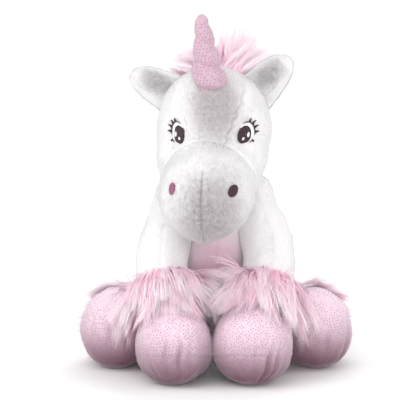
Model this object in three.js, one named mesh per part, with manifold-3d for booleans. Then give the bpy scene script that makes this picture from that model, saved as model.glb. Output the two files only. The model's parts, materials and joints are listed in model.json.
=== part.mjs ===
// A sitting plush unicorn, built as separate sewn and stuffed pieces.
// Millimetres, +Z up. The toy faces -Y, so its own left side is +X.

import * as THREE from 'three';
import { mergeVertices } from 'three/addons/utils/BufferGeometryUtils.js';
import Module from 'manifold-3d';

const wasm = await Module();
wasm.setup();

// ---------------------------------------------------------------- driving dimensions

const GAP = 0.3;                    // clear gap between pieces that touch
const PLUSH = 2.0;                  // thickness of the plush with its backing
const HOOF_CLOTH = 1.5;             // thickness of the dotted cloth
const SEAM = 0.6;                   // gap where one moving part is sewn to the next
const SOCKET = 2.8;                 // room round a ball joint, deeper than one facet

const RUMP = { at: [0, 36, 64], radii: [60, 62, 74] };
const CHEST = { at: [0, 8, 132], radii: [50, 46, 72] };
const HAUNCH = { x: 46, y: 46, z: 50, radius: 37 };
const PELLETS = { at: [0, 36, 22], radii: [44, 42, 30] };
const CLOSING_SLIT = { z: 110, width: 2, height: 46, from: 40, to: 140 };   // in the back seam

const SHOULDER = { x: 41, y: -6, z: 178, radius: 28 };
const SHOULDER_FACE = 33;           // half width of the chest between the shoulders
const SWING = { most: 10, step: 2 };   // degrees that a front leg lifts forward
const WORLD = 500;                  // half size of a block that cuts away one side
const LEG_RADIUS = 28;

const NECK = { at: [0, -14, 206], radius: 32, tube: 29, foot: 172, mouth: 14 };

const HEAD = { at: [-1, -40, 256], yaw: -6.5, roll: 1.0 };
const CRANIUM = { at: [0, 0, 0], radii: [60.5, 58, 64] };
const MUZZLE = { at: [0, -64, -59], radii: [49.5, 50, 51] };
const EYE = { x: 33.5, z: 2, width: 15.5, height: 25, tilt: 6 };
const NOSTRIL = { x: 31, z: -44, width: 7, height: 11.5, tilt: 12 };
const PATCH = 0.9;                  // thickness of an embroidered patch

const HORN = { at: [-3, -26, 50], length: 78, radius: 19, turns: 3.2, lean: 14, tilt: -6 };
const THREAD = 0.9;                 // radius of the thread wound round the horn
const HORN_GAP = 2.2;               // room for the horn to flex on its seam

const EAR = { length: 66, width: 44, depth: 17, lining: 2.2, root: 20, gap: 2.6 };
const EARS = [
  { side: 'left', at: [43, 6, 38], rise: 47 },
  { side: 'right', at: [-43, 6, 31], rise: 27 },
];

const MANE = [
  { at: [24, 36, 62], radii: [34, 14, 33], lean: -20 },
  { at: [-28, 35, 52], radii: [27, 14, 24], lean: 26 },
  { at: [0, 30, 57], radii: [21, 26, 18], lean: 0 },
  { at: [0, 50, 36], radii: [19, 19, 32], lean: 0 },
  { at: [0, 60, 0], radii: [17, 13, 40], lean: 0 },
];

const TAIL = { at: [0, 98.3, 62], root: 11, rootLength: 22, length: 84, radius: 17, floor: 3 };

const FRONT_HOOF = [40, 42, 44];
const REAR_HOOF = [38, 40, 43];
const HOOF_SINK = 2;                // how far a hoof is flattened where it rests
const HOOF_HEART = 44;              // height at which a leg ends inside its hoof
const CUFF = { depth: 5, front: 4, rear: 6, hem: 12 };   // long fur laid on a hoof
const LEGS = [
  { name: 'front_left', hoof: [40.5, -100], knee: [56, -44, 128], ankle: [46, -82, 82] },
  { name: 'front_right', hoof: [-42.5, -100], knee: [-55, -44, 128], ankle: [-47, -82, 82] },
  { name: 'rear_left', hoof: [103.5, -28], knee: null, ankle: [86, -6, 48] },
  { name: 'rear_right', hoof: [-103.5, -28], knee: null, ankle: [-86, -6, 48] },
];

const AROUND = 12;                  // facets around a rounded piece
const DOWN = 6;                     // facets from its top to its bottom

// ---------------------------------------------------------------- materials

function fabric(colour, roughness) {
  return new THREE.MeshStandardMaterial({ color: colour, roughness, metalness: 0 });
}

const whitePlush = () => fabric('#f3f0f0', 0.95);
const earLining = () => fabric('#e3dcdd', 0.95);
const pinkFur = () => fabric('#ecc9d9', 0.9);
const dottedCloth = () => fabric('#eccfdc', 0.55);
const filling = () => fabric('#fbfaf7', 1);
const pelletCloth = () => fabric('#d9d4c8', 0.9);
const pinkThread = () => fabric('#e3b6c8', 0.6);
const darkThread = () => fabric('#3a2634', 0.5);
const noseThread = () => fabric('#6d4358', 0.6);

// ---------------------------------------------------------------- solids

function solidFrom(geometry) {
  geometry.deleteAttribute('normal');
  geometry.deleteAttribute('uv');
  const merged = mergeVertices(geometry, 1e-3);
  return new wasm.Manifold(new wasm.Mesh({
    numProp: 3,
    vertProperties: Float32Array.from(merged.attributes.position.array),
    triVerts: Uint32Array.from(merged.index.array),
  }));
}

function place(geometry, at) {
  return geometry.translate(at[0], at[1], at[2]);
}

function ellipsoid({ at, radii }, grow = 0) {
  const ball = new THREE.SphereGeometry(1, AROUND, DOWN).rotateX(Math.PI / 2);
  ball.scale(radii[0] + grow, radii[1] + grow, radii[2] + grow);
  return solidFrom(place(ball, at));
}

function sphere(at, radius) {
  return ellipsoid({ at, radii: [radius, radius, radius] });
}

function block(low, high) {
  const size = high.map((value, i) => value - low[i]);
  const middle = high.map((value, i) => (value + low[i]) / 2);
  return solidFrom(place(new THREE.BoxGeometry(size[0], size[1], size[2]), middle));
}

function above(height) {
  return block([-WORLD, -WORLD, height], [WORLD, WORLD, WORLD]);
}

function tube(points, radius, { sides = 8, steps = 4 } = {}) {
  const section = new THREE.Shape().absarc(0, 0, radius, 0, 2 * Math.PI, false);
  const path = new THREE.CatmullRomCurve3(points.map((point) => new THREE.Vector3(...point)));
  return solidFrom(new THREE.ExtrudeGeometry(section, {
    steps, curveSegments: sides, bevelEnabled: false, extrudePath: path,
  }));
}

function crossTube(side, from, to, { y, z }, radius) {
  const drum = new THREE.CylinderGeometry(radius, radius, to - from, AROUND).rotateZ(Math.PI / 2);
  return solidFrom(place(drum, [side * (from + to) / 2, y, z]));
}

function patchOutline({ x, z, width, height, tilt }, side, surface) {
  const reach = 100;
  const oval = new THREE.CylinderGeometry(1, 1, reach, AROUND);
  oval.scale(width / 2, 1, height / 2);
  oval.rotateY(THREE.MathUtils.degToRad(-side * tilt));
  return solidFrom(place(oval, [side * x, surface.at[1] - reach / 2, z]));
}

function piece(name, solid, material) {
  const { vertProperties, triVerts } = solid.getMesh();
  const geometry = new THREE.BufferGeometry();
  geometry.setAttribute('position', new THREE.BufferAttribute(vertProperties, 3));
  geometry.setIndex(new THREE.BufferAttribute(triVerts, 1));
  geometry.computeVertexNormals();
  const mesh = new THREE.Mesh(geometry, material);
  mesh.name = name;
  return mesh;
}

// ---------------------------------------------------------------- body and neck

function torsoShape(grow) {
  let shape = ellipsoid(RUMP, grow).add(ellipsoid(CHEST, grow));
  for (const side of [1, -1]) {
    const haunch = [side * HAUNCH.x, HAUNCH.y, HAUNCH.z];
    const recess = SHOULDER.radius + 1.5 - grow;
    shape = shape.add(sphere(haunch, HAUNCH.radius + grow));
    shape = shape.subtract(crossTube(side, SHOULDER_FACE + grow, 90, SHOULDER, recess));
  }
  return shape.intersect(above(-grow));
}

function neckHole(grow) {
  const { at, radius, tube: width, foot } = NECK;
  const shaft = new THREE.CylinderGeometry(width + grow, width + grow, at[2] - foot + grow, AROUND);
  const tubeSolid = solidFrom(place(shaft.rotateX(Math.PI / 2),
    [at[0], at[1], (at[2] + foot - grow) / 2]));
  return sphere(at, radius + grow).add(tubeSolid);
}

function buildTorso() {
  const inner = torsoShape(-PLUSH);
  const slit = block(
    [-CLOSING_SLIT.width / 2, CLOSING_SLIT.from, CLOSING_SLIT.z - CLOSING_SLIT.height / 2],
    [CLOSING_SLIT.width / 2, CLOSING_SLIT.to, CLOSING_SLIT.z + CLOSING_SLIT.height / 2],
  );
  const neckRoom = neckHole(SOCKET);
  const skin = torsoShape(0).subtract(inner).subtract(neckRoom).subtract(slit);
  const room = torsoShape(-PLUSH - GAP);
  const bag = ellipsoid(PELLETS).intersect(room);
  const fill = room.subtract(neckRoom).subtract(ellipsoid(PELLETS, GAP));
  return [
    piece('torso_skin', skin, whitePlush()),
    piece('torso_stuffing', fill, filling()),
    piece('pellet_bag', bag, pelletCloth()),
  ];
}

function buildNeck() {
  const [x, y] = NECK.at;
  const opening = block([x - NECK.mouth, y - NECK.mouth, 0], [x + NECK.mouth, y + NECK.mouth, WORLD]);
  const skin = neckHole(0).subtract(neckHole(-PLUSH)).subtract(opening);
  return [
    piece('neck_skin', skin, whitePlush()),
    piece('neck_stuffing', neckHole(-PLUSH - GAP), filling()),
  ];
}

// ---------------------------------------------------------------- head

const headPlace = new THREE.Matrix4().compose(
  new THREE.Vector3(...HEAD.at),
  new THREE.Quaternion().setFromEuler(new THREE.Euler(
    0, THREE.MathUtils.degToRad(HEAD.roll), THREE.MathUtils.degToRad(HEAD.yaw))),
  new THREE.Vector3(1, 1, 1),
);

function neckRoomInHead() {
  const centre = new THREE.Vector3(...NECK.at).applyMatrix4(headPlace.clone().invert());
  return sphere(centre.toArray(), NECK.radius + SOCKET);
}

function buildFace() {
  const neckRoom = neckRoomInHead();
  const muzzle = ellipsoid(MUZZLE);
  const cranium = ellipsoid(CRANIUM);
  const skin = cranium.subtract(ellipsoid(CRANIUM, -PLUSH))
    .subtract(ellipsoid(MUZZLE, GAP)).subtract(neckRoom);
  const panel = muzzle.subtract(ellipsoid(MUZZLE, -PLUSH)).subtract(ellipsoid(CRANIUM, GAP));
  const headFill = ellipsoid(CRANIUM, -PLUSH - GAP)
    .subtract(ellipsoid(MUZZLE, GAP)).subtract(neckRoom);
  const muzzleFill = ellipsoid(MUZZLE, -PLUSH - GAP).subtract(neckRoom);
  const pieces = [
    piece('head_skin', skin, whitePlush()),
    piece('muzzle_panel', panel, whitePlush()),
    piece('head_stuffing', headFill, filling()),
    piece('muzzle_stuffing', muzzleFill, filling()),
  ];
  const eyeLayer = ellipsoid(CRANIUM, GAP + PATCH).subtract(ellipsoid(CRANIUM, GAP));
  const noseLayer = ellipsoid(MUZZLE, GAP + PATCH).subtract(ellipsoid(MUZZLE, GAP));
  for (const [side, word] of [[1, 'left'], [-1, 'right']]) {
    const eye = eyeLayer.intersect(patchOutline(EYE, side, CRANIUM));
    const nostril = noseLayer.intersect(patchOutline(NOSTRIL, side, MUZZLE));
    pieces.push(piece(`${word}_eye`, eye, darkThread()));
    pieces.push(piece(`${word}_nostril`, nostril, noseThread()));
  }
  return pieces;
}

function hornSurface(t) {
  return HORN.radius * Math.pow(1 - t, 0.8) + 2.2 * (1 - t) * t;
}

function hornCone(shrink) {
  const profile = [new THREE.Vector2(0, 0)];
  const rings = 7;
  for (let i = 0; i < rings; i += 1) {
    const t = 0.96 * i / (rings - 1);
    profile.push(new THREE.Vector2(hornSurface(t) - shrink, t * HORN.length));
  }
  profile.push(new THREE.Vector2(0, HORN.length - shrink * 2.5));
  return solidFrom(new THREE.LatheGeometry(profile, AROUND).rotateX(Math.PI / 2));
}

function hornThread() {
  const points = [];
  const perTurn = 9;
  const steps = Math.round(HORN.turns * perTurn);
  const chord = 1 / Math.cos(Math.PI / perTurn);
  for (let i = 0; i <= steps; i += 1) {
    const t = 0.22 + 0.62 * i / steps;
    const angle = 2 * Math.PI * HORN.turns * i / steps;
    const reach = hornSurface(t) * chord + THREAD + 3 * GAP;
    points.push([reach * Math.cos(angle), reach * Math.sin(angle), t * HORN.length]);
  }
  return tube(points, THREAD, { sides: 4, steps });
}

function buildHorn(headCutter) {
  const group = new THREE.Group();
  group.position.set(...HORN.at);
  group.rotation.set(THREE.MathUtils.degToRad(HORN.lean), THREE.MathUtils.degToRad(HORN.tilt), 0);
  group.updateMatrix();
  const back = group.matrix.clone().invert();
  const cutter = headCutter.transform(back.elements);
  const cover = hornCone(0).subtract(hornCone(HOOF_CLOTH)).subtract(cutter);
  const fill = hornCone(HOOF_CLOTH + GAP).subtract(cutter);
  group.add(
    piece('horn_cover', cover, dottedCloth()),
    piece('horn_stuffing', fill, filling()),
    piece('horn_thread', hornThread(), pinkThread()),
  );
  return group;
}

function buildEar({ side, at, rise }, headCutter) {
  const sign = side === 'left' ? 1 : -1;
  const group = new THREE.Group();
  group.position.set(...at);
  group.rotation.set(0, sign * THREE.MathUtils.degToRad(90 - rise), 0);
  group.updateMatrix();
  const cutter = headCutter.transform(group.matrix.clone().invert().elements);
  const leafAt = [0, 0, EAR.length / 2 - EAR.root / 2];
  const leaf = { at: leafAt, radii: [EAR.width / 2, EAR.depth / 2, EAR.length / 2] };
  const cup = {
    at: [0, -EAR.depth * 0.55, leafAt[2]],
    radii: [EAR.width / 2 - 3, EAR.depth * 0.5, EAR.length / 2 - 4],
  };
  const body = ellipsoid(leaf).subtract(cutter);
  const lining = body.intersect(ellipsoid(cup, EAR.lining))
    .subtract(ellipsoid(cup));
  const outer = body.subtract(ellipsoid(cup, EAR.lining + GAP, 16, 12));
  group.add(piece(`${side}_ear_outer`, largest(outer), whitePlush()));
  group.add(piece(`${side}_ear_inner`, largest(lining), earLining()));
  return group;
}

function largest(solid) {
  return solid.decompose().sort((a, b) => b.volume() - a.volume())[0];
}

function buildMane() {
  let fur = null;
  for (const { at, radii, lean } of MANE) {
    const lock = new THREE.SphereGeometry(1, AROUND, DOWN).rotateX(Math.PI / 2);
    lock.scale(...radii);
    lock.rotateY(THREE.MathUtils.degToRad(-lean));
    const solid = solidFrom(place(lock, at));
    fur = fur ? fur.add(solid) : solid;
  }
  return piece('mane_fur', fur.subtract(ellipsoid(CRANIUM, GAP)), pinkFur());
}

function buildHead() {
  const group = new THREE.Group();
  headPlace.decompose(group.position, group.quaternion, group.scale);
  group.add(...buildFace());
  group.add(buildMane());
  group.add(buildHorn(ellipsoid(CRANIUM, HORN_GAP)));
  for (const ear of EARS) {
    group.add(buildEar(ear, ellipsoid(CRANIUM, EAR.gap)));
  }
  return group;
}

// ---------------------------------------------------------------- legs

function hoofShape({ hoof, name }, grow) {
  const radii = name.startsWith('front') ? FRONT_HOOF : REAR_HOOF;
  const at = [hoof[0], hoof[1], radii[2] - HOOF_SINK];
  return ellipsoid({ at, radii }, grow).intersect(above(-grow));
}

function legShape({ name, knee, ankle, hoof }, grow) {
  const side = Math.sign(hoof[0]);
  const radius = LEG_RADIUS + grow;
  const end = [
    (ankle[0] + 2 * hoof[0]) / 3,
    (ankle[1] + 2 * hoof[1]) / 3,
    (ankle[2] + 2 * HOOF_HEART) / 3 - Math.abs(grow),
  ];
  if (name.startsWith('rear')) {
    const hip = [side * HAUNCH.x, HAUNCH.y, HAUNCH.z];
    const room = sphere(hip, HAUNCH.radius + SOCKET - grow);
    return tube([hip, ankle, end], radius - 1).subtract(room);
  }
  const shoulder = [side * SHOULDER.x, SHOULDER.y, SHOULDER.z];
  const limb = tube([shoulder, knee, ankle, end], radius);
  const ball = sphere(shoulder, SHOULDER.radius + grow);
  const face = crossTube(side, 0, SHOULDER_FACE + SEAM - grow, SHOULDER, SHOULDER.radius + 2.5 - grow);
  return limb.add(ball).subtract(face);
}

function cuffShape(leg) {
  const [x, y] = leg.hoof;
  const radii = leg.name.startsWith('front') ? FRONT_HOOF : REAR_HOOF;
  const centre = new THREE.Vector3(x, y, radii[2] - HOOF_SINK);
  const up = new THREE.Vector3(...leg.ankle).sub(centre).normalize();
  const slab = new THREE.CylinderGeometry(80, 80, 60, 6);
  slab.applyQuaternion(new THREE.Quaternion().setFromUnitVectors(new THREE.Vector3(0, 1, 0), up));
  const start = leg.name.startsWith('front') ? CUFF.front : CUFF.rear;
  const middle = centre.clone().addScaledVector(up, start + 30);
  const cap = solidFrom(place(slab, middle.toArray()));
  return hoofShape(leg, CUFF.depth).intersect(cap).intersect(above(CUFF.hem));
}

// Everywhere that the torso is, seen from a front leg while it lifts.
function swingRoom() {
  const { y, z } = SHOULDER;
  let room = torsoShape(SEAM);
  for (let angle = SWING.step; angle <= SWING.most; angle += SWING.step) {
    const turned = torsoShape(SEAM).translate([0, -y, -z]).rotate([angle, 0, 0]);
    room = room.add(turned.translate([0, y, z]));
  }
  return room;
}

function buildLeg(leg, torsoCutter) {
  const hoof = hoofShape(leg, 0);
  const limbRoom = legShape(leg, GAP);
  const outer = legShape(leg, 0).subtract(torsoCutter);
  const hoofRoom = hoofShape(leg, GAP);
  const inner = legShape(leg, -PLUSH);
  const core = legShape(leg, -PLUSH - GAP).subtract(torsoCutter).subtract(hoofRoom);
  const skin = outer.subtract(inner).subtract(hoofRoom);
  const mouth = legShape(leg, -6);
  const cover = hoof.subtract(hoofShape(leg, -HOOF_CLOTH)).subtract(mouth);
  const cuffSide = Math.sign(leg.hoof[0]);
  let cuff = cuffShape(leg).subtract(hoofRoom).subtract(limbRoom).subtract(torsoCutter);
  if (leg.name.startsWith('front')) {
    const middleLine = (LEGS[0].hoof[0] + LEGS[1].hoof[0]) / 2 + cuffSide * SEAM;
    const half = cuffSide > 0 ? [middleLine, WORLD] : [-WORLD, middleLine];
    cuff = cuff.intersect(block([half[0], -WORLD, 0], [half[1], WORLD, WORLD]));
  }
  return [
    piece(`${leg.name}_leg_skin`, largest(skin), whitePlush()),
    piece(`${leg.name}_leg_stuffing`, largest(core), filling()),
    piece(`${leg.name}_fetlock_fur`, largest(cuff), pinkFur()),
    piece(`${leg.name}_hoof_cover`, largest(cover), dottedCloth()),
    piece(`${leg.name}_hoof_stuffing`, hoofShape(leg, -HOOF_CLOTH - GAP), filling()),
  ];
}

// ---------------------------------------------------------------- tail

function buildTail(torsoCutter) {
  const [x, y, z] = TAIL.at;
  const rootEnd = [x, y + TAIL.rootLength * 0.8, z - TAIL.rootLength * 0.45];
  const root = tube([[x, y - 16, z + 6], [x, y, z], rootEnd], TAIL.root, { sides: 8, steps: 3 });
  const hank = new THREE.SphereGeometry(1, AROUND, DOWN).rotateX(Math.PI / 2);
  hank.scale(TAIL.radius, TAIL.radius * 0.8, TAIL.length / 2);
  hank.rotateX(THREE.MathUtils.degToRad(24));
  const fur = solidFrom(place(hank, [x, y + 34, z - 18])).intersect(above(TAIL.floor));
  const rootRoom = tube([[x, y - 16, z + 6], [x, y, z], rootEnd], TAIL.root + GAP,
    { sides: 8, steps: 3 });
  return [
    piece('tail_root', largest(root.subtract(torsoCutter)), whitePlush()),
    piece('tail_fur', largest(fur.subtract(rootRoom).subtract(torsoCutter)), pinkFur()),
  ];
}

// ---------------------------------------------------------------- assembly

const unicorn = new THREE.Group();
const torsoCutter = torsoShape(SEAM);
unicorn.add(...buildTorso(), ...buildNeck(), buildHead());
const frontCutter = swingRoom();
for (const leg of LEGS) {
  unicorn.add(...buildLeg(leg, leg.name.startsWith('front') ? frontCutter : torsoCutter));
}
unicorn.add(...buildTail(torsoShape(SOCKET)));

export default unicorn;
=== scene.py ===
import json
import math

import bpy
import numpy as np
from mathutils import Matrix, Vector


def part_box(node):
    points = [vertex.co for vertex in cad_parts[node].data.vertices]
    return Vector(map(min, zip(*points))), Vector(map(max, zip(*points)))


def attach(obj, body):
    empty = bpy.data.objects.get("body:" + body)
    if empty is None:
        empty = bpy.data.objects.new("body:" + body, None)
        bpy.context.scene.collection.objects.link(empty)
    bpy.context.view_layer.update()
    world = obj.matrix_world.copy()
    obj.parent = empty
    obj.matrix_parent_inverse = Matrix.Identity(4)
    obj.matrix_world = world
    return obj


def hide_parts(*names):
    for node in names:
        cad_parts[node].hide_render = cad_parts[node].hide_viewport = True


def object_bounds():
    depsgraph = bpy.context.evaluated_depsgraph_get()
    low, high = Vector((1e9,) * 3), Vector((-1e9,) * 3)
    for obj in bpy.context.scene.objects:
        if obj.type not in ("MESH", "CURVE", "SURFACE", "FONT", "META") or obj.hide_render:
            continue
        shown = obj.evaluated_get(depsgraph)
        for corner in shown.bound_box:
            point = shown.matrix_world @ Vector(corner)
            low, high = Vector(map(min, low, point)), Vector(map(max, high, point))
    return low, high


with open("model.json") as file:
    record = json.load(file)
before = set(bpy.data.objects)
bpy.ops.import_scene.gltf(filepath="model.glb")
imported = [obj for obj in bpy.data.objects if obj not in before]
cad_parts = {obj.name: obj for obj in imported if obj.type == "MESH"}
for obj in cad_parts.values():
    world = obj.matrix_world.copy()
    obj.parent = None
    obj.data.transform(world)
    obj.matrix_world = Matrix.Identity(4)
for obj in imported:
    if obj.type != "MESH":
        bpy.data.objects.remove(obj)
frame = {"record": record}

# A sitting plush unicorn: sewn and stuffed skins, short white pile, long pink fur,
# glitter-dot hooves and horn, and embroidered eyes and nostrils.
# Shapes are worked out in millimetres in the frame of the CAD model.

CAD_BOX = [list(corner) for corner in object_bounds()]
MM = 0.001
SENSOR_WIDTH = 36
JOINTS = {joint["name"]: joint for joint in frame["record"]["behaviour"]["joints"]}

# ---------------- sizes (mm)

HEAD_YAW = math.radians(-6.5)
HEAD_ROLL = math.radians(1.0)
CRANIUM_RADII = np.array([60.5, 58.0, 64.0])
MUZZLE_AT = np.array([0.0, -64.0, -59.0])
MUZZLE_RADII = np.array([49.5, 49.5, 50.0])
HORN_LENGTH = 74.0
HORN_RADIUS = 18.2
HORN_TURNS = 3.1
HORN_THREAD_RADIUS = 0.6
HORN_LEAN = math.radians(14)
HORN_TILT = math.radians(-6)
EAR_LENGTH = 56.0
EAR_HALF_WIDTH = 21.5
PILE_LENGTH = 3.5
PILE_WIDTH = 0.52
BODY_PILE = {"length": 2.7, "lean": 1.22}
LEG_PILE = {"length": 2.5, "lean": 1.24, "ruffle": 0.05}
LEG_AROUND = 56                     # points round a leg
FACE_STANDOFF = 170.0               # mm in front of the head's middle, clear of the muzzle
HOOF_SHADE_TOP = 0.075               # metres above the floor where a hoof's painted shade ends and its tint is palest
# Spikes of short pile on each skin, and hairs in each hank of long fur.
SPIKES = {"head": 62000, "muzzle": 40000, "torso": 60000, "neck": 14000, "front_leg": 34000,
          "rear_leg": 16000, "ear": 26000, "ear_lining": 14000, "tail_root": 3500}
HAIRS = {"front_cuff": 7900, "rear_cuff": 6800, "left_fan": 2600, "right_fan": 1500,
         "crest": 3600, "tail": 5200}
# The share of a leg, from its joint to its hoof, that a cuff's roots cover.
FRONT_CUFF_SPAN = (0.585, 0.77)
REAR_CUFF_SPAN = (0.42, 0.70)
HEAD_CLOTH = 1.6                    # thickness of the head's plush
FUR_WIDTH = 0.5
DOT_PITCH = 3.6
DOT_ROW_PITCH = DOT_PITCH * 0.87
DOT_RADIUS = 0.58


# ---------------- small maths

def unit(v):
    return v / np.maximum(np.linalg.norm(v, axis=-1, keepdims=True), 1e-9)


def rotation(angle, axis):
    return np.array(Matrix.Rotation(angle, 3, axis))


def bell(x, width):
    return np.exp(-(x / width) ** 2)


def step_between(x, low, high):
    t = np.clip((x - low) / (high - low), 0, 1)
    return t * t * (3 - 2 * t)


def corners(node):
    low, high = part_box(node)
    return np.array(low) / MM, np.array(high) / MM


def joint_at(name):
    return np.array(JOINTS[name]["pos_m"]) / MM


def turns(count):
    """Even angles round a full turn."""
    return np.linspace(0, 2 * math.pi, count, endpoint=False)


def square_to(heading):
    """Two directions square to heading and to each other."""
    side = unit(np.cross(heading, np.array([0.0, 0.35, 1.0])))
    return side, np.cross(side, heading)


def nearest(points, spots):
    """Distance to the middle of the nearest spot (centre, reach), in its own reaches."""
    return np.min([np.linalg.norm((points - at) / reach, axis=1) for at, reach in spots], axis=0)


def lumps(points, size, seed, waves=9):
    """A smooth random height of about -1 to 1, whose hills are about size apart."""
    draw = np.random.default_rng(seed)
    total = np.zeros(len(points))
    for _ in range(waves):
        direction = unit(draw.normal(size=3))
        pace = 2 * math.pi / (size * draw.uniform(0.7, 1.5))
        total += np.sin(points @ direction * pace + draw.uniform(0, 2 * math.pi))
    return total / math.sqrt(waves)


def ellipsoid_distance(points, at, radii):
    q = (points - at) / radii
    near = np.linalg.norm(q, axis=1)
    slope = np.linalg.norm(q / radii, axis=1)
    return near * (near - 1) / np.maximum(slope, 1e-9)


def smooth_min(a, b, reach):
    h = np.clip(0.5 + 0.5 * (b - a) / reach, 0, 1)
    return b + (a - b) * h - reach * h * (1 - h)


# ---------------- surfaces

def cube_sphere(count):
    """Even directions over a sphere, as vertices and quads."""
    line = np.tan(np.linspace(-math.pi / 4, math.pi / 4, count + 1))
    u, v = np.meshgrid(line, line, indexing="ij")
    one = np.ones_like(u)
    sides = [(one, u, v), (-one, v, u), (v, one, u), (u, -one, v), (u, v, one), (v, u, -one)]
    points = np.concatenate([unit(np.stack(side, -1).reshape(-1, 3)) for side in sides])
    index = np.arange((count + 1) ** 2).reshape(count + 1, count + 1)
    quad = np.stack([index[:-1, :-1], index[1:, :-1], index[1:, 1:], index[:-1, 1:]], -1)
    quads = np.concatenate([quad.reshape(-1, 4) + i * (count + 1) ** 2 for i in range(6)])
    _, first, same = np.unique(np.round(points, 6), axis=0, return_index=True, return_inverse=True)
    return points[first], same.reshape(-1)[quads]


def trace(distance, centre, directions, reach):
    """The outermost point of a shape along each direction from centre."""
    travel = np.full(len(directions), float(reach))
    for _ in range(48):
        travel -= 0.85 * distance(centre + directions * travel[:, None])
    return centre + directions * travel[:, None]


def corner_normals(points, faces):
    a, b, c, d = (points[faces[:, i]] for i in range(4))
    flat = np.cross(c - a, d - b)
    normals = np.zeros_like(points)
    for i in range(4):
        np.add.at(normals, faces[:, i], flat)
    return unit(normals)


def star_surface(distance, centre, count=72, reach=150):
    directions, quads = cube_sphere(count)
    points = trace(distance, centre, directions, reach)
    return points, quads, corner_normals(points, quads)


def grid_quads(rows, columns, closed):
    across = columns if closed else columns - 1
    i, j = np.meshgrid(np.arange(rows - 1), np.arange(across), indexing="ij")
    k = (j + 1) % columns
    return np.stack([i * columns + j, i * columns + k, (i + 1) * columns + k,
                     (i + 1) * columns + j], -1).reshape(-1, 4)


def loft(path, radii, around=LEG_AROUND):
    """A closed round tube along path, whose radius ends at nearly nothing."""
    side, other = square_to(unit(np.gradient(path, axis=0)))
    angle = turns(around)[None, :, None]
    ring = side[:, None] * np.cos(angle) + other[:, None] * np.sin(angle)
    points = (path[:, None] + ring * radii[:, None, None]).reshape(-1, 3)
    quads = grid_quads(len(path), around, True)
    return points, quads, ring.reshape(-1, 3)


def closed_sheet(front, rear, faces):
    """Two matching open sheets joined round their edge into one closed piece."""
    count = len(front)
    edges = np.concatenate([faces[:, [i, (i + 1) % 4]] for i in range(4)])
    key = edges[:, 0] * count + edges[:, 1]
    back = edges[:, 1] * count + edges[:, 0]
    rim = edges[~np.isin(key, back)]
    wall = np.stack([rim[:, 1], rim[:, 0], rim[:, 0] + count, rim[:, 1] + count], -1)
    return np.concatenate([front, rear]), np.concatenate([faces, faces[:, ::-1] + count, wall])


def thicken(points, faces, depth):
    """A closed shell from an open sheet, with its inner side depth below it."""
    used, inverse = np.unique(faces, return_inverse=True)
    points, faces = points[used], inverse.reshape(faces.shape)
    return closed_sheet(points, points - corner_normals(points, faces) * depth, faces)


def quads_out(points, quads, other_side):
    """Quads turned so that they face away from other_side."""
    away = np.sum(corner_normals(points, quads) * (points - other_side), axis=1).sum()
    return quads if away > 0 else quads[:, ::-1]


# ---------------- objects

def piece(name, points, faces, materials, body, nodes=(), slots=None,
          normals=None):
    """A named mesh that rides on a body, and stands for CAD nodes where it has any."""
    mesh = bpy.data.meshes.new(name)
    size = faces.shape[1]
    mesh.vertices.add(len(points))
    mesh.vertices.foreach_set("co", (np.asarray(points) * MM).astype(np.float32).ravel())
    mesh.loops.add(faces.size)
    mesh.loops.foreach_set("vertex_index", faces.astype(np.int32).ravel())
    mesh.polygons.add(len(faces))
    mesh.polygons.foreach_set("loop_start", np.arange(0, faces.size, size, dtype=np.int32))
    for material in materials:
        mesh.materials.append(material)
    if slots is not None:
        mesh.polygons.foreach_set("material_index", slots.astype(np.int32))
    mesh.update(calc_edges=True)
    mesh.validate()
    mesh.polygons.foreach_set("use_smooth", np.ones(len(mesh.polygons), bool))
    if normals is not None:
        mesh.normals_split_custom_set_from_vertices(normals.astype(np.float32))
    item = bpy.data.objects.new(name, mesh)
    bpy.context.scene.collection.objects.link(item)
    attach(item, body)
    if nodes:
        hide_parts(*nodes)


def join(parts):
    """Several (points, faces) made into one."""
    points, faces, count = [], [], 0
    for p, f in parts:
        points.append(p)
        faces.append(f + count)
        count += len(p)
    return np.concatenate(points), np.concatenate(faces)


# ---------------- materials

def plain(name, colour, roughness=0.9, sheen=0.0, **sockets):
    material = bpy.data.materials.new(name)
    material.use_nodes = True
    shader = material.node_tree.nodes["Principled BSDF"]
    shader.inputs["Base Color"].default_value = (*colour, 1)
    shader.inputs["Roughness"].default_value = roughness
    shader.inputs["Sheen Weight"].default_value = sheen
    shader.inputs["Sheen Roughness"].default_value = 0.5
    shader.inputs["Specular IOR Level"].default_value = 0.25
    for socket, value in sockets.items():
        shader.inputs[socket.replace("_", " ")].default_value = value
    return material


def fibres(name, roughness=(0.8,) * 4, **tints):
    """Soft fibres named after their tints, each plain in colour along its length."""
    return [plain(f"{name}_{word}", tint, rough, 0.25)
            for (word, tint), rough in zip(tints.items(), roughness)]


def node(material, kind, inputs, **settings):
    """A new shader node whose inputs are each a value or another node's output."""
    tree = material.node_tree
    item = tree.nodes.new("ShaderNode" + kind)
    for name, value in settings.items():
        setattr(item, name, value)
    for socket, value in inputs.items():
        if isinstance(value, bpy.types.NodeSocket):
            tree.links.new(value, item.inputs[socket])
        else:
            item.inputs[socket].default_value = value
    return item


def on_object(material):
    return node(material, "TexCoord", {}).outputs["Object"]


def into_shader(material, output, socket):
    shader = material.node_tree.nodes["Principled BSDF"]
    material.node_tree.links.new(output, shader.inputs[socket])


def bumped(material, height, strength, distance):
    """Relief on a material, distance metres deep."""
    relief = node(material, "Bump", {"Strength": strength, "Distance": distance, "Height": height})
    into_shader(material, relief.outputs["Normal"], "Normal")


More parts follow.
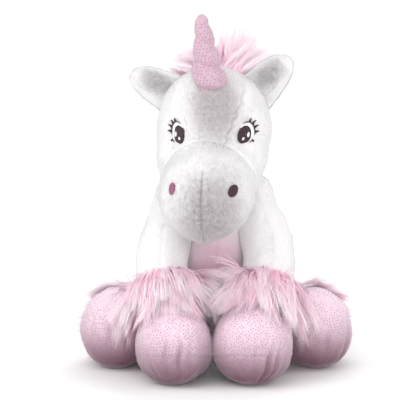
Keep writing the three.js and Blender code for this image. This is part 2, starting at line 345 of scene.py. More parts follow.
def woven(name, colours, scale, bump, roughness=0.9, sheen=0.0):
    """A cloth whose colour runs between two tints and whose surface is rough at scale."""
    material = plain(name, colours[0], roughness, sheen)
    noise = node(material, "TexNoise", {"Vector": on_object(material), "Scale": scale, "Detail": 4})
    ramp = node(material, "ValToRGB", {"Fac": noise.outputs["Fac"]})
    for element, position, colour in zip(ramp.color_ramp.elements, (0.32, 0.62), colours[::-1]):
        element.position = position
        element.color = (*colour, 1)
    into_shader(material, ramp.outputs["Color"], "Base Color")
    bumped(material, noise.outputs["Fac"], bump, 0.0006)
    return material


def fade_between(material, level, low_tint, high_tint):
    """Multiplies a woven cloth's mottle by a tint that runs from low to high with level."""
    shader = material.node_tree.nodes["Principled BSDF"]
    mottle = shader.inputs["Base Color"].links[0].from_socket
    fade = node(material, "Mix", {0: level, 6: (*low_tint, 1), 7: (*high_tint, 1)},
                data_type="RGBA")
    times = node(material, "Mix", {0: 1, 6: fade.outputs[2], 7: mottle}, data_type="RGBA",
                 blend_type="MULTIPLY")
    into_shader(material, times.outputs[2], "Base Color")
    return material


def smooth_level(material, value, low, high):
    level = node(material, "MapRange", {"Value": value, "From Min": low, "From Max": high},
                 interpolation_type="SMOOTHSTEP")
    return level.outputs["Result"]


def painted_shade_velour(name, low_tint, high_tint, height):
    """Smooth velour with painted shade that darkens it towards the floor, and a fine mottle."""
    material = woven(name, [(1, 1, 1), (0.90, 0.88, 0.89)], 260, 0.3, 0.55, 0.35)
    split = node(material, "SeparateXYZ", {"Vector": on_object(material)})
    level = smooth_level(material, split.outputs["Z"], 0, height)
    return fade_between(material, level, low_tint, high_tint)


def centred_plush(name, middle_tint, outer_tint, spots):
    """Plush with a painted tint in the middle of spots (centre, reach in mm) that fades outwards:
    painted shade on the face, painted pink bounce light on the chest.
    """
    material = woven(name, [(1, 1, 1), (0.95, 0.94, 0.945)], 320, 0.3, 0.95, 0.2)
    place = on_object(material)
    far = []
    for centre, reach in spots:
        mapping = node(material, "Mapping", {"Vector": place, "Scale": tuple(1 / (reach * MM)),
                                             "Location": tuple(-centre / reach)})
        far.append(node(material, "VectorMath", {0: mapping.outputs["Vector"]}, operation="LENGTH"))
    closest = node(material, "Math", {i: item.outputs["Value"] for i, item in enumerate(far)},
                   operation="MINIMUM")
    level = smooth_level(material, closest.outputs["Value"], 0.25, 1)
    return fade_between(material, level, middle_tint, outer_tint)


def stitched(name, colours, pitch, angle):
    """Satin stitch: fine threads side by side, pitch mm apart, at an angle in XZ."""
    material = woven(name, colours, 900, 0.3, 0.45, 0.1)
    turn = node(material, "Mapping", {"Vector": on_object(material), "Rotation": (0, angle, 0)})
    wave = node(material, "TexWave", {"Vector": turn.outputs["Vector"], "Distortion": 0.6,
                                      "Scale": 1 / (pitch * MM) / 20})
    bumped(material, wave.outputs["Fac"], 0.5, 0.0003)
    return material


WHITE_BACKING = woven("white_backing", [(0.83, 0.815, 0.82), (0.78, 0.765, 0.77)], 320, 0.3,
                      0.95, 0.2)
WHITE_PILE = fibres("white_pile", light=(0.82, 0.81, 0.815), soft=(0.73, 0.715, 0.72))
# The face pile's pale, soft and grey tints are painted shade, laid thickest in the middle of the
# face.
FACE_PILE = fibres("face_pile", white=(0.93, 0.92, 0.925), pale=(0.76, 0.735, 0.745),
                   soft=(0.53, 0.50, 0.51), grey=(0.35, 0.315, 0.33))
# The chest pile's pink tint is painted bounce light from the pink fur.
CHEST_PILE = fibres("chest_pile", light=(0.91, 0.90, 0.905), pink=(0.99, 0.68, 0.81))
# The ear lining's cloth is a darker copy of the white plush: painted shade in the cup of the ear.
EAR_LINING_PAINTED_SHADE = woven("ear_cloth", [(0.76, 0.73, 0.74), (0.68, 0.655, 0.665)], 340, 0.3, 0.95, 0.2)
EAR_EDGE_PILE = fibres("ear_edge", light=(0.95, 0.94, 0.945), soft=(0.89, 0.875, 0.88))
# The ear lining pile's soft and grey tints are painted shade, deepest in the middle of the cup.
EAR_PILE = fibres("ear_pile", light=(0.92, 0.905, 0.91), soft=(0.68, 0.655, 0.665),
                  grey=(0.47, 0.44, 0.45))
# The fur's tints run from deep to pale; the deep ones near the roots are painted shade among the
# hairs.
PINK_FUR = fibres("pink_fur", (0.6, 0.55, 0.5, 0.5), deep=(0.90, 0.47, 0.64),
                  mid=(0.97, 0.66, 0.79), light=(0.99, 0.80, 0.89), tip=(0.99, 0.91, 0.95))
PINK_BACKING = woven("pink_backing", [(0.80, 0.50, 0.63), (0.70, 0.42, 0.54)], 500, 0.5)
# The hoof cloth is painted with shade: it runs from a deep plum at the floor to pale pink higher
# up.
HOOF_CLOTH = painted_shade_velour("hoof_cloth", (0.115, 0.030, 0.062), (0.82, 0.63, 0.73),
                           HOOF_SHADE_TOP)
HORN_CLOTH = woven("horn_cloth", [(0.57, 0.40, 0.48), (0.49, 0.32, 0.40)], 300, 0.3, 0.5, 0.35)
DOT_FOIL = plain("dot_foil", (0.30, 0.11, 0.19), 0.35, 0.0, Metallic=0.3)
HORN_THREAD = stitched("horn_winding", [(0.78, 0.50, 0.62), (0.66, 0.38, 0.50)], 0.4, 0.6)
IRIS_THREAD = stitched("iris_thread", [(0.060, 0.028, 0.042), (0.022, 0.010, 0.016)], 0.5, 0.2)
LASH_THREAD = stitched("lash_thread", [(0.060, 0.022, 0.042), (0.028, 0.010, 0.020)], 0.5, 0.9)
SCLERA_THREAD = stitched("sclera_thread", [(0.93, 0.92, 0.93), (0.80, 0.79, 0.81)], 0.5, 0.0)
NOSE_THREAD = stitched("nose_thread", [(0.060, 0.026, 0.040), (0.022, 0.010, 0.016)], 0.5, 1.4)
# A lighter pink copy of the nose thread: painted light on the thread of the lit nostril.
NOSE_PAINTED_LIGHT_THREAD = stitched("nose_pink_thread", [(0.34, 0.12, 0.20), (0.16, 0.05, 0.09)], 0.5, 1.4)


# ---------------- short pile

def scatter(points, faces, count, draw):
    """Random places on quads, by area, with their normals."""
    normals = corner_normals(points, faces)
    a, b, c, d = (points[faces[:, i]] for i in range(4))
    area = np.linalg.norm(np.cross(c - a, d - b), axis=1)
    pick = np.searchsorted(np.cumsum(area) / area.sum(), draw.random(count))
    pick = np.minimum(pick, len(faces) - 1)
    u, v = draw.random(count)[:, None], draw.random(count)[:, None]
    weights = [(1 - u) * (1 - v), u * (1 - v), u * v, (1 - u) * v]
    place = sum(w * points[faces[pick, i]] for i, w in enumerate(weights))
    normal = unit(sum(w * normals[faces[pick, i]] for i, w in enumerate(weights)))
    return place, normal


def pile(name, points, faces, count, flow, body, seed, length=PILE_LENGTH, lean=1.12,
         materials=None, slot="white_plush", grey=None, ruffle=0.06):
    """Short spikes of three faces all over a skin, combed along flow(points)."""
    draw = np.random.default_rng(seed)
    place, normal = scatter(points, faces, count, draw)
    comb = unit(flow(place)) + draw.normal(scale=0.4, size=place.shape)
    comb = unit(comb - normal * np.sum(comb * normal, axis=1, keepdims=True))
    angle = lean + ruffle * lumps(place, 6, seed + 2) + draw.normal(scale=0.14, size=count)
    reach = length * draw.uniform(0.65, 1.15, count) * (1 + 0.07 * lumps(place, 5, seed + 1))
    angle, reach = angle[:, None], reach[:, None]
    growth = unit(normal * np.cos(angle) + comb * np.sin(angle))
    root = place - normal * 0.5
    twist = draw.uniform(-0.35, 0.35, count)[:, None]
    side = unit(np.cross(growth, normal))
    side = unit(side * np.cos(twist) + np.cross(side, growth) * np.sin(twist))
    half = side * (PILE_WIDTH / 2) * draw.uniform(0.7, 1.2, count)[:, None]
    under = root + np.cross(side, growth) * (PILE_WIDTH * 0.2)
    above = np.sum((under - root) * normal, axis=1, keepdims=True) > 0
    under = np.where(above, 2 * root - under, under)
    spike = np.stack([root - half, root + half, under, root + growth * reach], 1)
    base = np.arange(count)[:, None] * 4
    pattern = np.array([[0, 1, 3], [1, 2, 3], [2, 0, 3]])
    triangles = (base[:, :, None] + pattern[None]).reshape(-1, 3)
    top = np.cross(spike[:, 1] - spike[:, 0], spike[:, 3] - spike[:, 0])
    flip = np.repeat(np.sum(top * normal, axis=1) < 0, 3)
    triangles[flip] = triangles[flip][:, ::-1]
    shade = unit(normal + comb * 0.12 + draw.normal(scale=0.09, size=normal.shape))
    materials = materials or WHITE_PILE
    # grey(place), where given, is the share of the later tints: painted shade on the face and in
    # the ear cups, painted pink bounce light on the chest.
    deep = (0.3 if grey is None else grey(place)) + 0.09 * lumps(place, 5, seed + 3)
    tint = np.floor(deep * (len(materials) - 1) + draw.random(count)).astype(int)
    tint = np.clip(tint, 0, len(materials) - 1)
    piece(name, spike.reshape(-1, 3), triangles, materials, body,
          slots=np.repeat(tint, 3), normals=np.repeat(shade, 4, axis=0))


# ---------------- long fur

def strands(name, nodes, roots, normals, heading, lengths, body, seed, keep_out, droop,
            spread, steps=6, clump=60, tone=0.15, look=None):
    """Long tapered hairs in locks: each lock has a leading hair that the others lean to."""
    draw = np.random.default_rng(seed)
    count = len(roots)
    locks = max(4, count // clump)
    leaders = draw.choice(count, locks, replace=False)
    gap = np.full(count, np.inf)
    lock = np.zeros(count, int)
    for i, leader in enumerate(leaders):
        away = np.sum((roots - roots[leader]) ** 2, axis=1)
        nearer = away < gap
        gap[nearer] = away[nearer]
        lock[nearer] = i
    swing = draw.normal(scale=spread, size=(locks, 3))
    stretch = draw.uniform(0.75, 1.15, locks)
    lengths = lengths * stretch[lock] * draw.uniform(0.8, 1.1, count)
    curl = draw.normal(scale=0.10, size=(locks, 3))
    direction = unit(heading + swing[lock] + draw.normal(scale=0.07, size=roots.shape))
    position = roots.copy()
    outward = normals.copy()
    path, facing = [position.copy()], [outward.copy()]
    hover = draw.uniform(0.4, 4.5, count)
    for k in range(steps):
        stride = (lengths / steps)[:, None]
        position = position + direction * stride
        lead = position[leaders][lock]
        hold = 0.16 * (k + 1) / steps
        position = position + (lead - position) * hold
        position, outward = keep_out(position, hover, outward)
        pull = np.array([0, 0, -droop / steps])
        direction = unit(direction + pull + curl[lock] * (k / steps)
                         + draw.normal(scale=0.035, size=roots.shape))
        inwards = np.minimum(np.sum(direction * outward, axis=1, keepdims=True), 0)
        direction = unit(direction - outward * inwards * 0.9)
        path.append(position.copy())
        facing.append(outward.copy())
    path = np.stack(path, 1)
    facing = np.stack(facing, 1)
    if look is not None:
        turned = np.any(look != 0, axis=1)
        facing[turned] = look[turned][:, None]
    tangent = unit(np.gradient(path, axis=1))
    twist = draw.uniform(-0.7, 0.7, count)[:, None, None]
    side = unit(np.cross(tangent, facing))
    side = unit(side * np.cos(twist) + np.cross(side, tangent) * np.sin(twist))
    taper = 1 - np.linspace(0, 1, steps + 1) ** 2.2 * 0.92
    half = side * (FUR_WIDTH / 2) * taper[None, :, None]
    half = half * draw.uniform(0.7, 1.3, count)[:, None, None]
    flat = np.cross(side, tangent)
    flat *= np.sign(np.sum(flat * facing, axis=-1, keepdims=True) + 1e-9)
    ridge = path + flat * np.linalg.norm(half, axis=-1, keepdims=True) * 0.7
    roof = np.stack([path - half, ridge, path + half], 2).reshape(-1, 3)
    row = np.arange(steps)[:, None] * 3 + np.arange(2)[None]
    quads = np.stack([row, row + 1, row + 4, row + 3], -1).reshape(-1, 4)
    quads = (np.arange(count)[:, None, None] * (steps + 1) * 3 + quads[None]).reshape(-1, 4)
    start, along, _, across = (roof[quads[:, i]] for i in range(4))
    up = np.repeat(flat[:, :-1], 2, axis=1).reshape(-1, 3)
    left_out = np.sum(np.cross(along - start, across - start) * up, axis=1) < 0
    quads[left_out] = quads[left_out][:, ::-1]
    lean_out = unit(half) * 0.45
    middle_out = unit(flat * 0.6 + facing * 0.5)
    shade = np.stack([middle_out - lean_out, middle_out, middle_out + lean_out], 2)
    shade = unit(shade.reshape(-1, 3))
    tone = tone + draw.normal(loc=1.55, scale=0.5, size=locks)[lock]
    tone = tone + draw.normal(scale=0.35, size=count)
    # Deeper tints towards the roots and paler towards the tips: painted shade among the hairs, on
    # top of a tone that differs at random by lock and by hair.
    along = np.linspace(-0.9, 0.9, steps)
    slots = np.clip(np.round(tone[:, None] + along[None]), 0, 3).astype(int).reshape(-1)
    piece(name, roof, quads, PINK_FUR, body, nodes, slots=np.repeat(slots, 2),
          normals=shade)


# ---------------- glitter dots

def dots(name, places, normals, body):
    """Small domed foil discs on the cloth."""
    sides = 6
    angle = turns(sides)[None, :, None]
    across = unit(np.cross(normals, np.array([0.31, 0.2, 0.93])))
    other = np.cross(normals, across)
    rim = (across[:, None] * np.cos(angle) + other[:, None] * np.sin(angle)) * DOT_RADIUS
    rim = places[:, None] + rim + normals[:, None] * 0.02
    top = (places + normals * 0.28)[:, None]
    points = np.concatenate([rim, top], 1).reshape(-1, 3)
    k = np.arange(sides)
    fan = np.stack([k, (k + 1) % sides, np.full(sides, sides)], -1)
    faces = (np.arange(len(places))[:, None, None] * (sides + 1) + fan[None]).reshape(-1, 3)
    piece(name, points, faces, [DOT_FOIL], body)


def dot_ring(number, row):
    """Even turns round a ring of dots, each second ring half a pitch on."""
    return (np.arange(number) + 0.5 * (row % 2)) * 2 * math.pi / number


# ---------------- head frame

HEAD_TURN = rotation(HEAD_ROLL, "Y") @ rotation(HEAD_YAW, "Z")
skull_low, skull_high = corners("head_skin")
HEAD_AT = np.array([(skull_low[0] + skull_high[0]) / 2, (skull_low[1] + skull_high[1]) / 2,
                    skull_high[2] - CRANIUM_RADII[2]])


def head_to_row(points):
    return points @ HEAD_TURN.T + HEAD_AT


def row_to_head(points):
    return (points - HEAD_AT) @ HEAD_TURN


# Spots (centre, reach in mm) in the middle of the forehead and of the muzzle, where shade is
# painted on the face's plush.
FACE_SHADE_SPOTS = [
    (head_to_row(np.array([6.0, -50.0, 30.0])), np.array([39.0, 90.0, 66.0])),
    (head_to_row(np.array([8.0, -100.0, -72.0])), np.array([48.0, 90.0, 66.0])),
]
# The face's backing is painted grey in these spots as shade, and fades to white outwards.
FACE_PAINTED_SHADE_BACKING = centred_plush("face_backing", (0.47, 0.44, 0.45), (0.88, 0.865, 0.87), FACE_SHADE_SPOTS)


def cranium_distance(p):
    skull = ellipsoid_distance(p, np.zeros(3), CRANIUM_RADII - 1.5)
    for side in (1, -1):
        cheek_at = np.array([side * 25.0, -20.0, -34.0])
        cheek = ellipsoid_distance(p, cheek_at, np.array([30.0, 33, 30]))
        skull = smooth_min(skull, cheek, 16)
    bridge = ellipsoid_distance(p, np.array([0.0, -38.0, -8.0]), np.array([28.0, 24, 36]))
    return smooth_min(skull, bridge, 14)


def muzzle_distance(p):
    q = p.copy()
    chin = step_between(-p[:, 2], 60, 110)
    q[:, 0] *= 1 + 0.05 * step_between(p[:, 2], -60, -15)
    return ellipsoid_distance(q, MUZZLE_AT, MUZZLE_RADII - 1.5) + chin * 0.4


def head_distance(p):
    return smooth_min(cranium_distance(p), muzzle_distance(p), 24)


def gusset_half_width(z):
    return np.interp(z, [-14, 6, 30, 52, 62], [17, 23, 31, 34, 30])


def head_relief(p):
    """Depth of the seams and puckers in the head, in mm, at points in the head frame."""
    front = step_between(-p[:, 1], -8, 20)
    wander = 0.8 * np.sin(p[:, 2] * 0.55) * step_between(p[:, 0], 5, 15)
    edge = np.abs(p[:, 0]) - gusset_half_width(p[:, 2]) + wander
    strong = 0.35 + 0.65 * step_between(p[:, 0], -5, 5)
    gusset = bell(edge, 1.4) * front * step_between(p[:, 2], -14, -4) * strong
    puff = bell(edge - 6, 5) * front * step_between(p[:, 2], -10, 10) * strong
    between = muzzle_distance(p) - cranium_distance(p)
    side_fold = step_between(p[:, 0], 8, 26) * step_between(p[:, 2], -44, -28)
    collar = bell(between, 1.5 + 0.6 * side_fold) * (0.8 + 1.3 * side_fold)
    brow = bell(between + 3.5, 3.5) * np.sin(p[:, 0] * 2.1) * bell(p[:, 0], 26)
    brow = brow * step_between(-p[:, 1], 30, 45)
    below = step_between(-p[:, 2], 22, 40) * step_between(-p[:, 1], 60, 80)
    seam = bell(p[:, 0], 1.2) * below
    ridge = bell(np.abs(p[:, 0]) - 4.5, 3.0) * below
    gathers = np.sin(p[:, 2] * 0.9 + 1.3 * np.sin(p[:, 2] * 0.31)) * bell(p[:, 0], 6) * below
    drape = bell(p[:, 0] - 15, 5) * below * step_between(-p[:, 2], 40, 60)
    soft = lumps(p, 40, 5) * 0.6 + lumps(p, 15, 6) * 0.12
    return (soft + 1.1 * puff + 0.55 * gathers + 1.1 * ridge - 0.9 * drape + 0.35 * brow
            - 1.9 * gusset - 1.0 * collar - 1.9 * seam)


directions, head_quads = cube_sphere(96)
HEAD_HEART = np.array([0.0, -32.0, -30.0])
head_points = trace(head_distance, HEAD_HEART, directions, 150)
head_normals = corner_normals(head_points, head_quads)
head_points = head_points + head_normals * head_relief(head_points)[:, None]
face_middle = head_points[head_quads].mean(axis=1)
in_muzzle = muzzle_distance(face_middle) < cranium_distance(face_middle)


def head_flow(points):
    p = row_to_head(points)
    away = p - np.array([0.0, -118.0, -30.0])
    away[:, 2] -= 25 * step_between(-p[:, 2], 0, 60)
    return away @ HEAD_TURN.T


def face_painted_shade(points):
    """How much of the pile takes the greyer tints, as painted shade: most in the middle of the
    face.
    """
    ahead = step_between(-row_to_head(points)[:, 1], 5, 45)
    return 0.03 + 0.86 * step_between(-nearest(points, FACE_SHADE_SPOTS), -1.0, -0.25) * ahead


def make_head():
    shown = head_to_row(head_points)
    for name, faces, nodes, count, seed in (
        ("head_skin_plush", head_quads[~in_muzzle], ("head_skin", "head_stuffing"),
         SPIKES["head"], 11),
        ("muzzle_plush", head_quads[in_muzzle], ("muzzle_panel", "muzzle_stuffing"),
         SPIKES["muzzle"], 12),
    ):
        shell, shell_faces = thicken(shown, faces, HEAD_CLOTH)
        piece(name, shell, shell_faces, [FACE_PAINTED_SHADE_BACKING], "head", nodes)
        pile(name + "_pile", shown, faces, count, head_flow, "head", seed,
             materials=FACE_PILE, grey=face_painted_shade)


# ---------------- embroidery

def on_head(flat, lift):
    """Points (x, z) of the head frame laid on the front of the head, lift mm proud."""
    start = np.stack([flat[:, 0], np.full(len(flat), -FACE_STANDOFF), flat[:, 1]], -1)
    for _ in range(60):
        start[:, 1] += 0.8 * head_distance(start)
    slope = unit(np.stack([head_distance(start + step) - head_distance(start - step)
                           for step in 0.5 * np.eye(3)], -1))
    return head_to_row(start + slope * (head_relief(start) + lift)[:, None])


def patch(name, centre, outline, lift, material, nodes=(), rings=10, around=44):
    """A filled embroidered shape: outline(angle) gives (x, z) from its centre."""
    edge = outline(turns(around))
    share = np.linspace(1, 0.04, rings)
    flat = np.concatenate([np.array(centre) + edge * s for s in share])
    height = np.repeat(lift + 0.7 * (1 - share ** 3), around)
    skirt = np.array(centre) + edge * 1.015
    points = np.concatenate([on_head(skirt, -1.2), on_head(flat, height)])
    faces = grid_quads(rings + 1, around, True)
    piece(name, points, faces, [material], "head", nodes)


def oval(width, height, tilt=0.0, square=2.0):
    def outline(angle):
        c, s = np.cos(angle), np.sin(angle)
        x = np.sign(c) * np.abs(c) ** (2 / square) * width / 2
        z = np.sign(s) * np.abs(s) ** (2 / square) * height / 2
        return np.stack([x * math.cos(tilt) + z * math.sin(tilt),
                         z * math.cos(tilt) - x * math.sin(tilt)], -1)
    return outline


def stroke(flat, thick):
    """A raised line of thread through points (x, z) on the head, thick mm at each of them."""
    points, quads, _ = loft(on_head(flat, 2.9), thick, 8)
    return points, quads


def lash(start, end, bulge):
    """One thick curved stroke of thread from start to end, as (x, z) on the head."""
    t = np.linspace(0, 1, 11)[:, None]
    start, end = np.array(start), np.array(end)
    across = np.array([end[1] - start[1], start[0] - end[0]])
    flat = start + (end - start) * t + across * bulge * 4 * t * (1 - t)
    return stroke(flat, np.interp(t[:, 0], [0, 0.15, 0.6, 0.95, 1], [0.6, 1.35, 1.0, 0.45, 0.02]))


def make_eye(word, side, centre_x, centre_z, width):
    """One eye: white ground, dark iris, two glints, a lid line and lashes, all thread."""
    white_x, white_z = centre_x + side * 0.9, centre_z + 0.1
    half_x, half_z = (width + 1.6) / 2, 10.3
    patch(f"{word}_eye_white", (white_x, white_z), oval(2 * half_x, 2 * half_z, side * 0.10),
          2.3, SCLERA_THREAD)
    iris_x, iris_z = centre_x - side * 1.0, centre_z - 1.5
    patch(f"{word}_eye_iris", (iris_x, iris_z), oval(width - 0.6, 17.6, side * 0.06, 2.2),
          2.9, IRIS_THREAD, (f"{word}_eye",))
    patch(f"{word}_eye_glint_tall", (iris_x + side * 2.6, iris_z - 0.4), oval(2.2, 5.4, side * 0.1),
          3.7, SCLERA_THREAD, rings=5, around=20)
    patch(f"{word}_eye_glint_low", (iris_x - side * 1.9, iris_z - 4.4), oval(1.9, 3.3, side * 0.2),
          3.7, SCLERA_THREAD, rings=5, around=20)

    def rim(turn, out=0.35):
        """A point by the edge of the white, turn degrees from its top towards the ear."""
        a = np.radians(turn)
        return np.stack([white_x + side * (half_x + out) * np.sin(a),
                         white_z + (half_z + out) * np.cos(a)], -1)

    lid = np.linspace(-38, 112, 30)
    lid_thick = np.interp(lid, [-38, -30, 20, 95, 112], [0.02, 0.40, 0.62, 0.6, 0.02])
    low_thick = np.interp(np.arange(12), [0, 2, 9, 11], [0.02, 0.5, 0.45, 0.02])
    strokes = [stroke(rim(lid), lid_thick), stroke(rim(np.linspace(128, 165, 12)), low_thick)]
    for turn, length in ((22, 4.0), (45, 4.8), (68, 4.8), (92, 4.2), (140, 2.6)):
        start = rim(turn)
        b = math.radians(turn + (-6 if turn < 120 else 8))
        end = (start[0] + side * length * math.sin(b), start[1] + length * math.cos(b))
        strokes.append(lash(start, end, -side * 0.20))
    points, faces = join(strokes)
    piece(f"{word}_eye_lashes", points, faces, [LASH_THREAD], "head")


def make_face():
    make_eye("left", 1, 36.0, 2.0, 11.8)
    make_eye("right", -1, -29.8, 0.6, 10.4)
    # The right nostril is sewn with the lighter, painted-light copy of the nose thread.
    for word, x, width, thread in (("left", 30.0, 8.2, NOSE_THREAD),
                                   ("right", -30.0, 5.6, NOSE_PAINTED_LIGHT_THREAD)):
        patch(f"{word}_nostril_patch", (x, -49.0), oval(width, 11.6, 0.15), 2.0, thread,
              (f"{word}_nostril",))


# ---------------- body

RUMP_AT = np.array([0.0, 36.0, 64.0])
CHEST_AT = np.array([0.0, 8.0, 132.0])
# Spots (centre, reach in mm) on the chest between the front legs, where pink bounce light from the
# fur is painted on the plush.
CHEST_BOUNCE_SPOTS = [
    (np.array([2.0, -34.0, 100.0]), np.array([46.0, 46.0, 66.0])),
    (np.array([2.0, -28.0, 66.0]), np.array([46.0, 46.0, 50.0])),
]
# The chest's backing is painted pink in these spots as bounce light.
CHEST_PAINTED_BOUNCE_BACKING = centred_plush("chest_backing", (0.95, 0.66, 0.77), (0.88, 0.865, 0.87), CHEST_BOUNCE_SPOTS)


def torso_distance(p):
    shape = ellipsoid_distance(p, RUMP_AT, np.array([60.0, 62, 74]) - 1.5)
    chest = ellipsoid_distance(p, CHEST_AT, np.array([50.0, 46, 72]) - 1.5)
    shape = smooth_min(shape, chest, 22)
    for word in ("left", "right"):
        haunch = ellipsoid_distance(p, joint_at(f"rear_{word}_leg_splay"), np.full(3, 36.0))
        shape = smooth_min(shape, haunch, 14)
    return np.maximum(shape, -p[:, 2] + 0.6)


def downwards(points):
    return np.tile(np.array([0.0, -0.15, -1.0]), (len(points), 1))


def chest_painted_bounce(points):
    """The chest between the fur cuffs takes the pinker tint: painted pink bounce light from the
    fur.
    """
    return 0.05 + 0.9 * step_between(-nearest(points, CHEST_BOUNCE_SPOTS), -1.0, -0.25)


def make_torso():
    points, quads, normals = star_surface(torso_distance, np.array([0.0, 26.0, 92.0]), 84, 190)
    front = step_between(-normals[:, 1], 0.2, 0.6)
    seam = bell(points[:, 0] - 4, 1.5) * front
    back_seam = bell(points[:, 0], 1.5) * step_between(normals[:, 1], 0.2, 0.6)
    above_floor = step_between(points[:, 2], 2, 20)
    relief = (lumps(points, 38, 21) * 1.0 - 2.0 * seam - 1.8 * back_seam) * above_floor
    points = points + normals * relief[:, None]
    piece("torso_plush", points, quads, [CHEST_PAINTED_BOUNCE_BACKING], "torso",
          ("torso_skin", "torso_stuffing", "pellet_bag"))
    side = points[quads].mean(axis=1)
    pile("torso_pile", points, quads[side[:, 2] > 6], SPIKES["torso"], downwards, "torso", 22,
         materials=CHEST_PILE, grey=chest_painted_bounce, **BODY_PILE)


def make_neck():
    centre = joint_at("head_nod")

    def distance(p):
        return ellipsoid_distance(p, centre + np.array([0, 2.0, -2]), np.array([41.0, 37, 34]))

    points, quads, normals = star_surface(distance, centre, 40, 90)
    points = points + normals * (lumps(points, 25, 31) * 0.8)[:, None]
    piece("neck_plush", points, quads, [WHITE_BACKING], "neck",
          ("neck_skin", "neck_stuffing"))
    pile("neck_pile", points, quads, SPIKES["neck"], downwards, "neck", 32, **BODY_PILE)


# ---------------- legs

class Leg:
    """Where one leg runs, from its joint to its hoof."""

    def __init__(self, name):
        self.name = name
        self.front = name.startswith("front")
        self.body = f"{name}_leg"
        self.side = 1 if name.endswith("left") else -1
        motion = "swing" if self.front else "splay"
        self.top = joint_at(f"{name}_leg_{motion}")
        low, high = corners(f"{name}_hoof_cover")
        self.radii = (high - low) / 2
        self.radii[2] = (high[2] + 2) / 2
        self.hoof = np.array([(low[0] + high[0]) / 2, (low[1] + high[1]) / 2, self.radii[2] - 2])
        if self.side > 0:
            self.radii[0] += 2.0
            self.hoof[0] += -2.0 if self.front else 2.0
        self.radius = 27.0 if self.front else 26.0
        self.bow = (16.5 if self.side > 0 else 13.0) if self.front else 2.0

    def along(self, t):
        t = np.asarray(t, float)[..., None]
        bend = np.array([self.side * self.bow, 0, 4 if self.front else 0])
        tuck = np.array([self.side * (-3.2 if self.front else 0), 0, 0])
        return (self.top + (self.hoof - self.top) * t + tuck * np.clip(1 - t / 0.4, 0, 1.6) ** 2
                + bend * np.sin(math.pi * np.clip(t, 0, 1)) ** 1.5)

    def heading(self, t):
        return unit(self.along(t + 0.02) - self.along(t - 0.02))

    def hoof_distance(self, p):
        q = p - self.hoof
        q[:, 0] *= 1 + 0.07 * np.clip(q[:, 2] / self.radii[2], -1, 1)
        q[:, 1] *= 1 + 0.05 * np.clip(q[:, 2] / self.radii[2], -1, 1)
        round_part = ellipsoid_distance(q, np.zeros(3), self.radii - 0.3)
        return np.maximum(round_part, -p[:, 2] + 0.3)


def make_leg_skin(leg):
    count = 70
    reach = np.linalg.norm(leg.hoof - leg.top)
    t = np.linspace(-leg.radius / reach * 0.98, 0.86, count)
    path = leg.along(t)
    run = (t - t[0]) * reach
    cap = np.sqrt(np.clip(1 - (1 - np.clip(run / leg.radius, 0.00002, 1)) ** 2, 0, 1))
    radii = leg.radius * cap * (1 + 0.05 * np.sin(run / reach * math.pi * 2 + 0.6))
    if leg.front:
        radii = radii * (0.86 + 0.20 * step_between(t, 0.0, 0.5))
    radii[-1] *= 0.3
    points, quads, ring = loft(path, radii)
    normals = corner_normals(points, quads)
    if np.sum(normals * ring, axis=1).mean() < 0:
        quads, normals = quads[:, ::-1], -normals
    out = points - np.repeat(path, LEG_AROUND, axis=0)
    seam = bell(out[:, 0] * (1 if leg.front else 0.6) - leg.side * 2, 1.4)
    seam = seam * step_between(-normals[:, 1], 0.1, 0.5)
    relief = lumps(points, 26, 40 + len(leg.name)) * 0.8 - 1.6 * seam
    points = points + normals * relief[:, None]
    piece(f"{leg.name}_leg_plush", points, quads, [WHITE_BACKING], leg.body,
          (f"{leg.name}_leg_skin", f"{leg.name}_leg_stuffing"))

    def flow(p):
        return np.tile(leg.heading(0.5), (len(p), 1))

    shown = points[quads].mean(axis=1)
    keep = ((shown - leg.hoof) @ leg.heading(0.8)) < -leg.radii[2] * 0.8
    count = SPIKES["front_leg" if leg.front else "rear_leg"]
    pile(f"{leg.name}_leg_pile", points, quads[keep], count, flow,
         leg.body, 43 + int(leg.hoof[0]) % 50, **LEG_PILE)


# Each fold in a hoof: turn from its front and slant (radians), width, depth (mm), level.
FOLDS = {
    "front_left": ((0.38, 0.30, 0.060, 4.4, -0.32), (0.62, 0.28, 0.055, 3.2, -0.25),
                   (0.06, 0.12, 0.050, 1.5, -0.10), (-0.50, -0.10, 0.060, 1.0, -0.2)),
    "front_right": ((0.16, 0.04, 0.055, 4.0, -0.10), (-0.20, -0.06, 0.050, 2.4, 0.0),
                    (0.44, 0.10, 0.060, 1.2, -0.25), (-0.62, -0.15, 0.060, 1.1, -0.2)),
    "rear_left": ((0.30, 0.20, 0.08, 2.4, -0.1), (-0.25, 0.25, 0.07, 2.2, 0.1),
                  (0.95, 0.2, 0.08, 1.8, -0.2)),
    "rear_right": ((-0.15, -0.15, 0.08, 2.0, 0.15), (-0.70, -0.2, 0.08, 1.8, 0.1),
                   (0.4, 0.1, 0.07, 2.0, 0.0)),
}


def hoof_relief(leg, points, seed):
    """Seam, folds and stuffing lumps of a hoof, in mm."""
    q = points - leg.hoof
    turn = np.arctan2(q[:, 0], -q[:, 1])
    level = q[:, 2] / leg.radii[2]
    relief = lumps(points, 30, seed) * 0.8 + lumps(points, 12, seed + 1) * 0.2
    relief += lumps(points, 5.5, seed + 2) * 0.08
    for where, slant, width, depth, high in FOLDS[leg.name]:
        window = bell(level - high, 0.36)
        away = turn - where - slant * (level - high) - 0.03 * np.sin(level * 9)
        relief -= depth * bell(away, width) * window
        relief += 0.45 * depth * bell(np.abs(away) - 2.2 * width, width * 1.4) * window
    if leg.front:
        line = (level + 0.10 + 0.10 * turn ** 2) * leg.radii[2]
        facing = step_between(np.cos(turn), -0.2, 0.3)
        relief -= 0.9 * bell(line, 0.9) * facing
        relief += 0.5 * bell(line - 2.6, 2.0) * facing
    return relief * step_between(points[:, 2], 1, 9)


